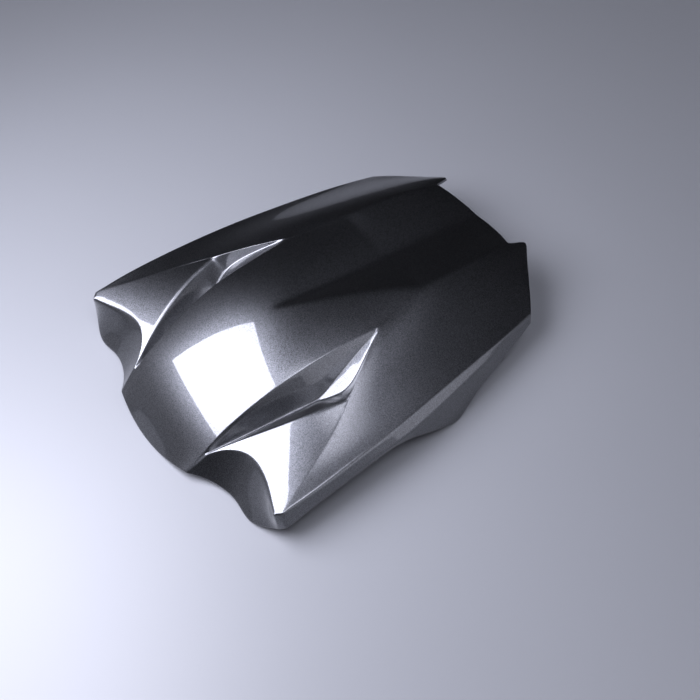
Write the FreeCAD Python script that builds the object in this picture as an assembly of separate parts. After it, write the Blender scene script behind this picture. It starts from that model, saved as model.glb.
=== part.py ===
import FreeCAD, Part
import os, math

# Rear fairing (cowl that takes the place of a motorcycle's pillion seat): one moulded shell.
# Frame: X across, Y from the rider's end (-Y) to the tail (+Y), Z up, standing on its rim at z = 0.
# The tables below give the right half (x > 0); the left half is its mirror image.
# In the tables y = 0 is the wing tip; SHIFT_Y brings the middle of the box to y = 0.

# ---------------- driving dimensions (mm) ----------------
WALL = 3.0             # wall thickness of the moulding
WALL_TIP = 0.9         # wall at the pointed front tip of the recess
SHIFT_Y = -147.5       # table y to part y
BAND = 1.2             # half width of the rounded crest band
U_H = 0.25             # place of the horn corner across the flank
Y_LOBE, Y_FASIN, Y_F = -36.0, -30.2, -12.2      # lobe rim, inner end of fascia, front tip of recess
Y_K, Y_R, Y_N = 94.4, 150.5, 312.5              # recess corner, recess rear tip, notch corner
Y_NC = 320.0                                    # middle of the notch
BOSS_D, BORE_D, BORE_DEPTH = 14.0, 4.2, 14.0    # screw bosses: width, bore and its depth
BOSS_X, BOSS_Y, BOSS_Z = 32.0, (28.0, 236.0), 22.0   # x each side, table y front and rear, height of the boss faces

# inner edge of the diamond recess
INNER_PTS = [(51.9,-12.2,21.7),(51.3,-0.8,31.3),(52.2,12.6,39.7),(53.4,26.3,46.6),(54.5,40.1,52.4),(55.6,54.2,57.2),
             (56.7,68.7,60.9),(57.6,84,63.3),(58.3,100.3,64.4),(59.1,117,64.8),(60.3,133.7,64.6),(62.0,150.5,64.0)]
# outer lip of the recess, front part and rear part
LIP1_PTS = [(51.9,-12.2,21.7),(57.1,-2.3,26.7),(62.2,7.7,31.5),(67.1,18,35.7),(71.8,28.3,39.3),(76.1,38.5,42.3),(80.2,49.2,44.8),
            (84.1,60.3,46.8),(87.6,71.4,48.3),(90.4,82.6,49.5),(92.9,95.1,50.3)]
LIP2_PTS = [(92.9,95.1,50.3),(88.0,105.1,53.0),(81.8,116.2,56.2),(75.5,127.8,59.1),(68.9,139.6,61.5),(62.0,150.5,64.0)]
# foot of the inner wall and foot of the outer wall; between them a narrow floor, then the ramp that rises to the rear tip
FOOT_A_PTS = [(51.6,-12.2,21.2),(58.7,20,26.5),(65.3,50,31.5),(70.8,75,35.6),(72.2,82.5,37),(71.7,88.5,39.6),(70,99.4,44.6),
              (67.3,116.4,51.6),(64.8,133.4,57.9),(63.1,145,61.8),(61.7,150.5,63.6)]
FOOT_B_PTS = [(52.2,-12.2,21.2),(59.8,20,26.5),(66.7,50,31.5),(72.4,75,35.6),(74.2,82.5,36.9),(76.8,88,38.2),(78.9,93,39.7),
              (80.7,98.3,41.4),(81.2,103.6,43.5),(80.5,109,45.9),(79,114,48.4),(77,119,50.9),(74.7,124.2,53.3),(72.4,129.1,55.5),
              (70,134.2,57.7),(67.7,139.3,59.7),(65.4,144.5,61.7),(62.3,150.5,63.6)]
# crest from the rear tip of the recess to the notch corner
CREST_PTS = [(62.0,150.5,64.0),(58.6,170,64.4),(55.4,191,65.2),(53.2,211,65.4),(52.5,233,63.3),(52.0,257,59.8),(50.2,282,55.3),(46.4,312.5,47.8)]
# crease between the centre lobe and the fascia
FASIN_PTS = [(47.6,-30.2,7.0),(50.2,-20.8,14.6),(51.9,-12.2,21.7)]
# centreline: height of the hump, of the trough's bottom, and half width of the trough, by y
HUMP_Y = [-36,-30,-25,-15,0,15,30,50,70,92,110,130,150,180,210,250,285,320]
HUMP_Z = [0.0,8.6,15.2,26.6,39.6,49.4,56.8,64.0,69.0,72.2,73.2,73.0,72.2,70.4,67.8,61.8,54.4,45.8]
VAL_Y = [92,110,130,150,170,195,230,267,300,320]
VAL_Z = [72.2,69.2,66.0,62.8,59.8,56.4,52.2,47.8,43.4,40.5]
TRB_Y = [92,124,161,196,210]
TRB_X = [0.0,13.5,27.5,44.0,52.0]
# wing tip: top corners and rim corners (front face side, skirt side)
P1F, P1, P0F, P0 = (130.5,-4.8,31.1), (135.0,0.3,32.3), (134.8,-3.1,12.2), (140.3,0.8,17.5)
# top ridge and bottom rim of the front fascia
RIDGE_F_PTS = [(51.9,-12.2,21.7),(60.5,-0.6,27.5),(69,6.2,30.8),(79.5,10.8,32.9),(93,10.7,33.0),(106,7.2,32.3),(118.2,1.4,31.5),P1F]
FASBOT_PTS = [(47.6,-30.2,7),(56.2,-23.4,5.6),(64.2,-18.5,4.4),(73,-14.8,3.4),(83,-12.3,2.6),(93,-12,1.6),(103,-13.2,0.6),
              (111.5,-13.0,0.4),(120.2,-10.1,4),(127.6,-6.4,7.8),P0F]
# crease between the wing facet and the flank
CREASE_PTS = [(92.9,95.1,50.3),(97.4,88.0,48.1),(103.8,75.8,44.9),(112.3,57.4,41),(120.1,38.2,37.7),(127.6,19.1,34.8),P1]
# skirt: top ridge, second crease, bottom rim
RIDGE_S_PTS = [P1,(135.8,21.4,34.2),(135.6,43.6,35.3),(134.4,66.3,36.2),(132.8,89.5,36.8),(130.9,113.8,37),(128.4,138.4,37),
               (125.3,164.4,36.5),(121.9,191.5,35.5),(118.3,219.6,34.1),(114.4,249.3,31.8),(108.0,284.8,28.3)]
CREASE_S_PTS = [(137.915,0.575,23.89),(138.2,30,27.2),(138.3,60,28.2),(137.8,90,28.0),(136.8,122.5,27.2),(133.6,148.4,28.2),(129.3,176.5,29.0),
                (124.6,205.3,29.2),(121.8,222,28.8),(115.8,250,27.8),(109.6,283.7,24.8)]
BOTTOM_S_PTS = [P0,(140.3,10,19.0),(139.9,30,21.4),(139.4,52,22.8),(138.4,80,23.2),(137.2,106.8,22.4),(137.2,124,18.6),(138.4,140,12.6),
                (139.4,156,6.6),(139.6,168,2.6),(138.8,178,0.6),(136.4,186,2.2),(131.6,202.5,8.8),(127.2,221,12.6),(121.8,244.6,16.2),(111.6,282.6,20.9)]
# rear edge: notch corner to horn tip, horn tip to the end of the skirt
HORN = (52.6,331.0,42.5)
REAR1_PTS = [(47.6,312.5,47.4),(48.9,318,45.9),(50.6,324.5,44.2),HORN]
REAR2_PTS = [HORN,(63.5,321.4,40.0),(75,311.8,37.5),(86.3,302.6,35),(97.4,293.6,32),(108.0,284.8,28.3)]
FASCIA_HOLLOW = 2.0    # how far the fascia is scooped in
# wing facet and flank: height over x and y
FACET = (40.557, -4.418, 11.319, 0.31, -8.355, -2.829)
FLANK_FORM = (50.715, -6.999, -20.132, 2.986, -23.183, -9.842, 13.971, -1.445, 8.608, 7.455)

# sampling: intervals of each row and column span
N_ROWS = [2, 3, 12, 7, 16]          # rim - tip level - recess tip - recess corner - recess rear tip - rear edge
T6 = 0.45
N_C, N_H, N_W = 9, 5, 11            # centre half, lip to horn column, horn column to side ridge

# ---------------- vectors and splines ----------------
def add(a, b): return (a[0]+b[0], a[1]+b[1], a[2]+b[2])
def sub(a, b): return (a[0]-b[0], a[1]-b[1], a[2]-b[2])
def mul(a, s): return (a[0]*s, a[1]*s, a[2]*s)
def dot(a, b): return a[0]*b[0]+a[1]*b[1]+a[2]*b[2]
def cross(a, b): return (a[1]*b[2]-a[2]*b[1], a[2]*b[0]-a[0]*b[2], a[0]*b[1]-a[1]*b[0])
def norm(a): return math.sqrt(dot(a, a))
def lerp(a, b, t): return (a[0]+(b[0]-a[0])*t, a[1]+(b[1]-a[1])*t, a[2]+(b[2]-a[2])*t)

class Spline:
    """Natural cubic spline through (t, value) knots, straight beyond its ends."""
    def __init__(self, ts, vs):
        n = len(ts)
        h = [ts[i+1]-ts[i] for i in range(n-1)]
        a = [0.0]*n; b = [1.0]*n; c = [0.0]*n; d = [0.0]*n
        for i in range(1, n-1):
            a[i] = h[i-1]; b[i] = 2*(h[i-1]+h[i]); c[i] = h[i]
            d[i] = 6*((vs[i+1]-vs[i])/h[i]-(vs[i]-vs[i-1])/h[i-1])
        for i in range(1, n):
            m = a[i]/b[i-1]; b[i] -= m*c[i-1]; d[i] -= m*d[i-1]
        M = [0.0]*n
        M[n-1] = d[n-1]/b[n-1]
        for i in range(n-2, -1, -1): M[i] = (d[i]-c[i]*M[i+1])/b[i]
        self.t, self.v, self.M, self.h = list(ts), list(vs), M, h
    def __call__(self, x):
        t, v, M, h = self.t, self.v, self.M, self.h
        if x <= t[0]: return v[0]+((v[1]-v[0])/h[0]-h[0]*(2*M[0]+M[1])/6)*(x-t[0])
        if x >= t[-1]: return v[-1]+((v[-1]-v[-2])/h[-1]+h[-1]*(2*M[-1]+M[-2])/6)*(x-t[-1])
        lo, hi = 0, len(t)-1
        while hi-lo > 1:
            m = (lo+hi)//2
            if t[m] <= x: lo = m
            else: hi = m
        A = t[lo+1]-x; B = x-t[lo]; H = h[lo]
        return (M[lo]*A**3+M[lo+1]*B**3)/(6*H)+(v[lo]/H-M[lo]*H/6)*A+(v[lo+1]/H-M[lo+1]*H/6)*B

class Curve3:
    """Cubic spline through 3-D points by chord length, on 0..1."""
    def __init__(self, pts):
        L = [0.0]
        for i in range(len(pts)-1): L.append(L[-1]+norm(sub(pts[i+1], pts[i])))
        ts = [l/L[-1] for l in L]
        self.s = [Spline(ts, [p[k] for p in pts]) for k in range(3)]
    def __call__(self, t): return (self.s[0](t), self.s[1](t), self.s[2](t))

class ByY:
    """Curve through (x, y, z) points with rising y: its point at a given y."""
    def __init__(self, pts):
        ys = [p[1] for p in pts]
        self.x = Spline(ys, [p[0] for p in pts]); self.z = Spline(ys, [p[2] for p in pts])
    def __call__(self, y): return (self.x(y), y, self.z(y))

INNER, LIP1, LIP2, FOOT_A, FOOT_B = ByY(INNER_PTS), ByY(LIP1_PTS), ByY(LIP2_PTS), ByY(FOOT_A_PTS), ByY(FOOT_B_PTS)
CREST, FASIN = ByY(CREST_PTS), ByY(FASIN_PTS)
HUMP, VAL0, TRB = Spline(HUMP_Y, HUMP_Z), Spline(VAL_Y, VAL_Z), Spline(TRB_Y, TRB_X)
RIDGE_F, FASBOT, CREASE = Curve3(RIDGE_F_PTS), Curve3(FASBOT_PTS), Curve3(CREASE_PTS)
RIDGE_S, CREASE_S, BOTTOM_S = ByY(RIDGE_S_PTS), ByY(CREASE_S_PTS), ByY(BOTTOM_S_PTS)
REAR1, REAR2 = Curve3(REAR1_PTS), Curve3(REAR2_PTS)

# ---------------- the outer skin as rows and columns of points ----------------
def facet_z(x, y):
    X, Y, q = (x-95)/40, (y-40)/50, FACET
    return q[0]+q[1]*X+q[2]*Y+q[3]*X*X+q[4]*X*Y+q[5]*Y*Y

def flank_z(x, y):
    X, Y, q = (x-95)/45, (y-160)/160, FLANK_FORM
    return q[0]+Y*(q[1]+Y*(q[2]+Y*q[3]))+X*(q[4]+Y*(q[5]+Y*q[6])+X*(q[7]+Y*q[8]+X*q[9]))

def columns(seg, t):
    """centreline y and the points of inner edge, both feet and lip; seg 0 lobe, 1 recess front, 2 recess rear, 3 tail"""
    if seg == 0:
        p = FASIN(Y_FASIN+(Y_F-Y_FASIN)*t)
        return (Y_LOBE+(-15.0-Y_LOBE)*t, (p[0]-BAND, p[1], p[2]+0.3*BAND), (p[0]-0.3, p[1]+0.35, p[2]-0.2), (p[0]+0.3, p[1]+0.35, p[2]-0.2),
                (p[0]+BAND, p[1]+0.3*BAND, p[2]))
    if seg == 1:
        y = Y_F+(Y_K-Y_F)*t; k = max(0.0, 1-t/0.10); e = BAND*k
        a, b, d, c = INNER(y), FOOT_A(y), FOOT_B(y), LIP1(y)
        return (-15.0+107.0*t, (a[0]-e, y, a[2]+0.3*e), (b[0], y+0.35*k, b[2]+0.3*k), (d[0], y+0.35*k, d[2]+0.3*k),
                (c[0]+e, y+0.3*e, facet_z(c[0]+e, y+0.3*e)))
    if seg == 2:
        y = Y_K+(Y_R-Y_K)*t; k = max(0.0, (t-0.8)/0.2); e = BAND*k
        a, b, d, c = INNER(y), FOOT_A(y), FOOT_B(y), LIP2(y)
        return (92.0+58.0*t, (a[0]-e, y, a[2]+0.05*e), (b[0], y, b[2]+0.55*k), (d[0], y, d[2]+0.45*k), (c[0]+e, y, c[2]-0.3*e))
    p = CREST(Y_R+(Y_N-Y_R)*t)
    return (150.0+(Y_NC-150.0)*t, (p[0]-BAND, p[1], p[2]+0.05*BAND), (p[0]-0.3, p[1], p[2]+0.15), (p[0]+0.3, p[1], p[2]+0.05), (p[0]+BAND, p[1], p[2]-0.3*BAND))

def soft_pos(x, r): return 0.5*(x+math.sqrt(x*x+r*r))
def groove(q): return soft_pos(1-math.sqrt(q*q+0.006), 0.06)/soft_pos(1-math.sqrt(0.006), 0.06)

def centre_point(y0, c1, s):
    """point of the centre skin at fraction s from the centreline (0) to the inner edge (1)"""
    x, y = c1[0]*s, y0+(c1[1]-y0)*s*s
    z = c1[2]+(HUMP(y0)-c1[2])*(1-s*s)
    if y0 > 92.01:
        b = min(TRB(min(y0, 210.0)), c1[0]) if y0 < 210.0 else c1[0]
        depth = HUMP(y0)-VAL0(y0)
        z -= depth*(groove(x/b)-groove(c1[0]/b)*s*s)
    return (x, y, z)

def tail_share(seg, t):
    k = (Y_R-Y_K)/(Y_N-Y_K)
    return t*k if seg == 2 else k+(1-k)*t

def side_columns(seg, t):
    """side ridge, second crease and bottom rim; seg 1 is the wing's blunt tip"""
    if seg == 1:
        a, c = lerp(P1F, P1, t), lerp(P0F, P0, t)
        return a, lerp(a, c, 1-T6), c
    w = tail_share(seg, t)
    ys = [p[0][1]+(p[-1][1]-p[0][1])*w for p in (RIDGE_S_PTS, CREASE_S_PTS, BOTTOM_S_PTS)]
    return RIDGE_S(ys[0]), CREASE_S(ys[1]), BOTTOM_S(ys[2])

def pinned(curve, us, a, b):
    """points of a curve at us, moved so that it starts at a and ends at b"""
    da, db = sub(a, curve(us[0])), sub(b, curve(us[-1]))
    return [add(curve(u), add(mul(da, (1-u)**3), mul(db, u**3))) for u in us]

def fill(g):
    """inside of a grid from its border: smooth (harmonic) surface"""
    nu, nv = len(g), len(g[0])
    for i in range(1, nu-1):
        u = i/(nu-1)
        for j in range(1, nv-1):
            v = j/(nv-1)
            g[i][j] = tuple((1-u)*g[0][j][k]+u*g[-1][j][k]+(1-v)*g[i][0][k]+v*g[i][-1][k]
                            -(1-u)*(1-v)*g[0][0][k]-u*(1-v)*g[-1][0][k]-(1-u)*v*g[0][-1][k]-u*v*g[-1][-1][k] for k in range(3))
    lu = sum(norm(sub(g[i+1][j], g[i][j])) for i in range(nu-1) for j in range(nv))/((nu-1)*nv)
    lv = sum(norm(sub(g[i][j+1], g[i][j])) for i in range(nu) for j in range(nv-1))/((nv-1)*nu)
    wu, wv = 1/lu**2, 1/lv**2
    d = 2*(wu+wv)
    for it in range(500):
        m = 0.0
        for i in range(1, nu-1):
            for j in range(1, nv-1):
                a, b, c, e, o = g[i-1][j], g[i+1][j], g[i][j-1], g[i][j+1], g[i][j]
                n = tuple(o[k]+1.7*((wu*(a[k]+b[k])+wv*(c[k]+e[k]))/d-o[k]) for k in range(3))
                m = max(m, abs(n[0]-o[0])+abs(n[1]-o[1])+abs(n[2]-o[2]))
                g[i][j] = n
        if m < 1e-4: break
    return g

# rows: (segment, fraction)
ROWS = []
for seg, t0, t1, n in [(0, 0.0, T6, N_ROWS[0]), (0, T6, 1.0, N_ROWS[1]), (1, 0.0, 1.0, N_ROWS[2]), (2, 0.0, 1.0, N_ROWS[3]), (3, 0.0, 1.0, N_ROWS[4])]:
    if ROWS: ROWS.pop()
    ROWS += [(seg, t0+(t1-t0)*i/n) for i in range(n+1)]
BREAK = [0]
for n in N_ROWS: BREAK.append(BREAK[-1]+n)
J6, JF, JK, JR, JE = BREAK[1], BREAK[2], BREAK[3], BREAK[4], BREAK[5]
# at a joint between two spans the row is given by the later one, except at the very end
COLS = [columns(s, t) for s, t in ROWS]
CENTRE = [[centre_point(c[0], c[1], i/N_C) for i in range(N_C+1)] for c in COLS]       # [row][column]
LINE1, LINE2A, LINE2B, LINE3 = [[c[k] for c in COLS] for k in (1, 2, 3, 4)]
SIDE = {j: side_columns(*ROWS[j]) for j in range(JF, JE+1)}
LINE5 = [lerp(P0F, P1F, ROWS[j][1]) for j in range(JF)]+[SIDE[j][0] for j in range(JF, JE+1)]
SIDE[JF] = (P1F, lerp(P1F, P0F, 1-T6), P0F)
LINE5[JF] = P1F
US = [U_H*i/N_H for i in range(N_H)]+[U_H+(1-U_H)*i/N_W for i in range(N_W+1)]
NU = len(US)-1
row_bottom = pinned(FASBOT, US, LINE3[0], LINE5[0])
row_ridge = pinned(RIDGE_F, US, LINE3[JF], LINE5[JF])
row_crease = pinned(CREASE, US, LINE3[JK], LINE5[JK])
row_ridge = [(p[0], p[1], facet_z(p[0], p[1])) for p in row_ridge[:-1]]+[P1F]
row_crease = [(p[0], p[1], facet_z(p[0], p[1])) for p in row_crease]
for j in range(JF+1, JK+1):
    p = LINE5[j]; LINE5[j] = (p[0], p[1], facet_z(p[0], p[1]))
row_rear = pinned(lambda u: REAR1(u/U_H) if u <= U_H else REAR2((u-U_H)/(1-U_H)), US, LINE3[JE], LINE5[JE])

def fill_over(g, form, dy=0.0):
    """fill where the heights follow a form over x and y"""
    lift = lambda p, s: p if p is None else (p[0], p[1], p[2]+s*form(abs(p[0]), p[1]-dy))
    g = fill([[lift(p, -1) for p in col] for col in g])
    return [[lift(p, 1) for p in col] for col in g]

def strip(j0, j1, first, last, form=None):
    g = [[None]*(j1-j0+1) for i in range(NU+1)]
    for i in range(NU+1): g[i][0], g[i][-1] = first[i], last[i]
    for j in range(j0, j1+1): g[0][j-j0], g[NU][j-j0] = LINE3[j], LINE5[j]
    return fill_over(g, form) if form else fill(g)

def puff(g, amount, axis):
    """crown (or hollow) of a strip, nothing at its border"""
    nu, nv = len(g)-1, len(g[0])-1
    for i in range(nu+1):
        for j in range(nv+1):
            k = amount*16*(i/nu)*(1-i/nu)*(j/nv)*(1-j/nv)
            g[i][j] = add(g[i][j], mul(axis, k))
    return g

FASCIA = puff(strip(0, JF, row_bottom, row_ridge), FASCIA_HOLLOW, (0, 0.8, -0.6))
WING = [[(p[0], p[1], facet_z(p[0], p[1])) for p in col] for col in strip(JF, JK, row_ridge, row_crease)]
FLANK = strip(JK, JE, row_crease, row_rear, flank_z)

def wing_point(i, j):
    if j <= JF: return FASCIA[i][j]
    if j <= JK: return WING[i][j-JF]
    return FLANK[i][j-JK]

# ---------------- patches: key -> grid[u][v] of point keys; points are shared through keys ----------------
POINT = {}
def put(key, p):
    POINT[key] = (p[0], p[1]+SHIFT_Y, p[2])
    return key

PATCH = {}
for b in range(5):
    j0, j1 = BREAK[b], BREAK[b+1]
    js = range(j0, j1+1)
    # centre, whole width: columns run from the left inner edge to the right one
    g = []
    for i in range(-N_C, N_C+1):
        col = []
        for j in js:
            p = CENTRE[j][abs(i)]
            key = ("L1", 1 if i > 0 else -1, j) if abs(i) == N_C else ("c", i, j)
            col.append(put(key, (p[0] if i >= 0 else -p[0], p[1], p[2])))
        g.append(col)
    PATCH["centre", 0, b] = g
    for sd in (1, -1):
        m = lambda p: (p[0]*sd, p[1], p[2])
        l1 = [put(("L1", sd, j), m(LINE1[j])) for j in js]
        l2 = [put(("L2", sd, j), m(LINE2A[j])) for j in js]
        l2b = [put(("L2B", sd, j), m(LINE2B[j])) for j in js]
        l3 = [put(("W", sd, 0, j), m(LINE3[j])) for j in js]
        PATCH["inner", sd, b] = [l1, l2]
        PATCH["floor", sd, b] = [l2, l2b]
        PATCH["outer", sd, b] = [l2b, l3]
        wing = [[put(("W", sd, i, j), m(wing_point(i, j))) for j in js] for i in range(NU+1)]
        PATCH["wingA", sd, b] = wing[:N_H+1]
        PATCH["wingB", sd, b] = wing[N_H:]
        if b >= 2:
            l5 = [("W", sd, NU, j) for j in js]
            l6 = [put(("S6", sd, j) if j > JF else ("W", sd, NU, J6), m(SIDE[j][1])) for j in js]
            l7 = [put(("S7", sd, j) if j > JF else ("W", sd, NU, 0), m(SIDE[j][2])) for j in js]
            PATCH["skirtA", sd, b] = [l5, l6]
            PATCH["skirtB", sd, b] = [l6, l7]

# ---------------- inner skin: each point moved in by the wall, meeting all its faces ----------------
NORMALS = {k: [] for k in POINT}
for (name, sd, b), g in PATCH.items():
    flip = 1 if sd >= 0 else -1
    for i in range(len(g)-1):
        for j in range(len(g[0])-1):
            ks = [g[i][j], g[i+1][j], g[i+1][j+1], g[i][j+1]]
            ps = [POINT[k] for k in ks]
            n = mul(cross(sub(ps[2], ps[0]), sub(ps[3], ps[1])), flip)
            l = norm(n)
            if l < 1e-6: continue
            n = mul(n, 1/l)
            for q in range(4):
                e1, e2 = sub(ps[(q+1) % 4], ps[q]), sub(ps[q-1], ps[q])
                w = math.acos(max(-1, min(1, dot(e1, e2)/max(1e-9, norm(e1)*norm(e2)))))
                NORMALS[ks[q]].append((n, w))

def solve3(A, b):
    d = dot(A[0], cross(A[1], A[2]))
    # columns by Cramer's rule on a symmetric matrix
    c0, c1, c2 = cross(A[1], A[2]), cross(A[2], A[0]), cross(A[0], A[1])
    return mul(add(add(mul(c0, b[0]), mul(c1, b[1])), mul(c2, b[2])), 1/d)

RIM_FLAT = set()
for (name, sd, b), g in PATCH.items():
    if b == 0 and name in ("centre", "inner", "floor", "outer", "wingA", "wingB"): RIM_FLAT.update(col[0] for col in g)
    if name == "skirtB": RIM_FLAT.update(g[1])

TIP = (INNER_PTS[0][0], INNER_PTS[0][1]+SHIFT_Y, INNER_PTS[0][2])
def wall_at(p):
    """wall: thinner in the pointed front tip of the recess, where the skins converge"""
    return min(WALL, WALL_TIP+0.07*norm(sub((abs(p[0]), p[1], p[2]), TIP)))

MOVE = {}
for k, ns in NORMALS.items():
    wall = wall_at(POINT[k])
    A = [[0.06 if r == c else 0.0 for c in range(3)] for r in range(3)]
    B = [0.0, 0.0, 0.0]
    W = sum(w for n, w in ns)
    for n, w in ns:
        w = w/W
        for r in range(3):
            B[r] += w*n[r]*wall*1.06
            for c in range(3): A[r][c] += w*n[r]*n[c]
    d = solve3([tuple(r) for r in A], B)
    if norm(d) > 2.0*wall: d = mul(d, 2.0*wall/norm(d))
    MOVE[k] = d
for sd in (1, -1):
    four = [("L1", sd, 0), ("L2", sd, 0), ("L2B", sd, 0), ("W", sd, 0, 0)]
    m = mul(add(add(MOVE[four[0]], MOVE[four[1]]), add(MOVE[four[2]], MOVE[four[3]])), 0.25)
    for k in four: MOVE[k] = m
INSIDE = {}
for k, d in MOVE.items():
    if k in RIM_FLAT:
        h = math.hypot(d[0], d[1])
        s = min(norm(d)**2/max(h, 1e-6), 1.5*WALL)/max(h, 1e-6)
        d = (d[0]*s, d[1]*s, 0.0)
    INSIDE[k] = sub(POINT[k], d)

# the wing tip's upright edges are straight, inside as well
def straight(keys):
    for i in range(1, len(keys)-1): INSIDE[keys[i]] = lerp(INSIDE[keys[0]], INSIDE[keys[-1]], i/(len(keys)-1))
for sd in (1, -1):
    straight([("W", sd, NU, j) for j in range(0, J6+1)])
    straight([("W", sd, NU, j) for j in range(J6, JF+1)])
    straight([("W", sd, NU, j) for j in range(JF, JK+1)])
    straight([("S6", sd, j) if j > JF else ("W", sd, NU, J6) for j in range(JF, JK+1)])
    straight([("S7", sd, j) if j > JF else ("W", sd, NU, 0) for j in range(JF, JK+1)])
    # inside of fascia, wing facet and flank from their own borders
    for j0, j1, form in ((0, JF, None), (JF, JK, facet_z), (JK, JE, flank_z)):
        g = [[INSIDE["W", sd, i, j] for j in range(j0, j1+1)] for i in range(NU+1)]
        g = fill_over(g, form, SHIFT_Y) if form else puff(fill(g), FASCIA_HOLLOW, (0, 0.8, -0.6))
        for i in range(1, NU):
            for j in range(j0+1, j1): INSIDE["W", sd, i, j] = g[i][j-j0]

# ---------------- smooth patches through the points ----------------
def interp_poles(pts):
    """poles of the uniform cubic spline through pts (second derivative zero at the ends)"""
    n = len(pts)
    if n == 2: return [pts[0], lerp(pts[0], pts[1], 1/3.0), lerp(pts[0], pts[1], 2/3.0), pts[1]]
    out = []
    m = n-1
    # slopes of the natural spline, then end poles of every span
    a = [1.0]*n; b = [4.0]*n; c = [1.0]*n
    b[0] = b[m] = 2.0
    D = [[0.0]*n for k in range(3)]
    for k in range(3):
        for i in range(n): D[k][i] = 3*(pts[min(i+1, m)][k]-pts[max(i-1, 0)][k])
    for i in range(1, n):
        f = a[i]/b[i-1]; b[i] -= f*c[i-1]
        for k in range(3): D[k][i] -= f*D[k][i-1]
    S = [[0.0]*n for k in range(3)]
    for k in range(3):
        S[k][m] = D[k][m]/b[m]
        for i in range(m-1, -1, -1): S[k][i] = (D[k][i]-c[i]*S[k][i+1])/b[i]
    sl = [(S[0][i], S[1][i], S[2][i]) for i in range(n)]
    # C2 spline in B-form: poles from the de Boor points of the Bezier spans
    out = [pts[0], add(pts[0], mul(sl[0], 1/3.0))]
    for i in range(1, m):
        # inner de Boor point: meeting of the control legs of the two spans at knot i
        left = sub(pts[i], mul(sl[i], 1/3.0))
        prev_right = add(pts[i-1], mul(sl[i-1], 1/3.0))
        out.append(add(left, sub(left, prev_right)))
    out.append(sub(pts[m], mul(sl[m], 1/3.0)))
    out.append(pts[m])
    return out

def knots(n):
    """knots and multiplicities for n points"""
    m = max(1, n-1)
    return [float(i) for i in range(m+1)], [4]+[1]*(m-1)+[4]

def patch_face(P):
    """face through a grid of points P[u][v]; two columns make a ruled patch"""
    nu, nv = len(P), len(P[0])
    cols = [interp_poles(col) for col in P]
    vk, vm = knots(nv)
    if nu == 2:
        poles, uk, um, ud = cols, [0.0, 1.0], [2, 2], 1
    else:
        nvp = len(cols[0])
        rows = [interp_poles([cols[i][j] for i in range(nu)]) for j in range(nvp)]
        poles = [[rows[j][i] for j in range(nvp)] for i in range(len(rows[0]))]
        uk, um = knots(nu); ud = 3
    s = Part.BSplineSurface()
    s.buildFromPolesMultsKnots([[FreeCAD.Vector(*p) for p in r] for r in poles], um, vm, uk, vk, False, False, ud, 3)
    return s.toShape()

def main():
    faces = []
    for key, g in PATCH.items():
        for table in (POINT, INSIDE):
            faces.append(patch_face([[table[k] for k in col] for col in g]))
    # rims: ruled between the outer and the inner skin
    def rim(keys): faces.append(patch_face([[POINT[k] for k in keys], [INSIDE[k] for k in keys]]))
    for (name, sd, b), g in PATCH.items():
        if b == 0: 
            rim([col[0] for col in g]) if len(g) > 2 else edge_rim(faces, g[0][0], g[1][0])
        if b == 4:
            rim([col[-1] for col in g]) if len(g) > 2 else edge_rim(faces, g[0][-1], g[1][-1])
        if name == "skirtB": rim(g[1])
    shell = Part.makeCompound(faces)
    shell.sewShape()
    print("faces", len(faces), "shells", [len(s.Faces) for s in shell.Shells], "closed", [s.isClosed() for s in shell.Shells])
    solid = Part.Solid(shell.Shells[0])
    if solid.Volume < 0: solid.reverse()
    print("shell valid", solid.isValid(), "volume", solid.Volume)
    # screw bosses under the skin, each with a blind bore from below
    down = FreeCAD.Vector(0, 0, 1)
    for x in (BOSS_X, -BOSS_X):
        for y in BOSS_Y:
            foot = FreeCAD.Vector(x, y+SHIFT_Y, BOSS_Z)
            pieces = Part.makeCylinder(BOSS_D/2, 100-BOSS_Z, foot, down).cut(solid).Solids
            post = min(pieces, key=lambda p: p.CenterOfMass.z)
            solid = solid.fuse(post)
            solid = solid.cut(Part.makeCylinder(BORE_D/2, BORE_DEPTH+1, foot-FreeCAD.Vector(0, 0, 1), down))
    solid = solid.Solids[0] if len(solid.Solids) == 1 else solid
    print("solid valid", solid.isValid(), "solids", len(solid.Solids), "volume", solid.Volume, "box", solid.BoundBox)
    return solid

def edge_rim(faces, ka, kb):
    """rim under a single straight span"""
    s = Part.BSplineSurface()
    poles = [[FreeCAD.Vector(*POINT[ka]), FreeCAD.Vector(*INSIDE[ka])], [FreeCAD.Vector(*POINT[kb]), FreeCAD.Vector(*INSIDE[kb])]]
    s.buildFromPolesMultsKnots(poles, [2, 2], [2, 2], [0.0, 1.0], [0.0, 1.0], False, False, 1, 1)
    faces.append(s.toShape())

os.makedirs("parts", exist_ok=True)
cowl_shell = main()
cowl_shell.exportStep("parts/cowl_shell.step")
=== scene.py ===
import bpy
import math
import numpy as np
from mathutils import Vector, Matrix


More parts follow.
